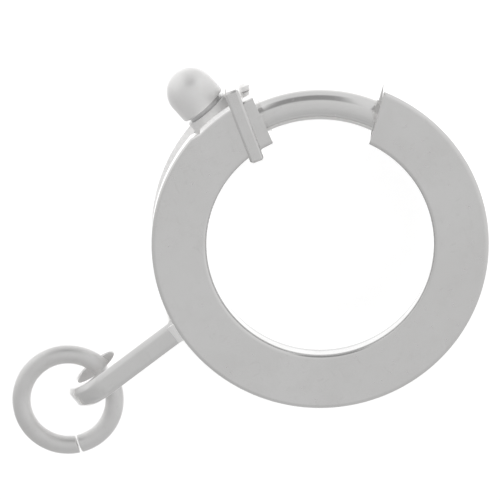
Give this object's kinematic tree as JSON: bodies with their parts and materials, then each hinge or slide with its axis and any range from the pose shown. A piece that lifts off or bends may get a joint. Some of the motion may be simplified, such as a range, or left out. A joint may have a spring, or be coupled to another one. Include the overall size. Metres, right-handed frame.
{
  "type": "spring ring clasp",
  "caption": "Spring ring clasp in polished silver: a hollow round body, a sliding tongue with a domed thumb knob, a flat tag and an open jump ring.",
  "frame": {"origin": "centre of the clasp's round eye, on the ring's axis, at the middle of its thickness", "axes": "+Z along the ring's axis, out of the face that was pictured; +Y from the eye's centre to the middle of the mouth; +X to the right of that face, so the tag and jump ring lie on the -X, -Y side"},
  "size_m": [0.0256, 0.0212, 0.0052],
  "materials": {
    "polished_silver": "polished",
    "jump_wire": "polished",
    "spring_steel": "satin"
  },
  "bodies": {
    "clasp": {"body": "polished_silver", "collar": "polished_silver", "spring": "spring_steel", "jump_ring": "jump_wire"},
    "bolt": {"tongue": "polished_silver", "knob": "polished_silver"}
  },
  "joints": [
    {"name": "tongue_slide", "type": "hinge", "parent": "clasp", "child": "bolt", "pos_m": [0, 0, 0], "axis": [0, 0, 1], "range_deg": [0, 39], "stiffness_Nm_per_rad": 0.02, "springref_deg": -1.15, "deforming": ["spring"]}
  ]
}
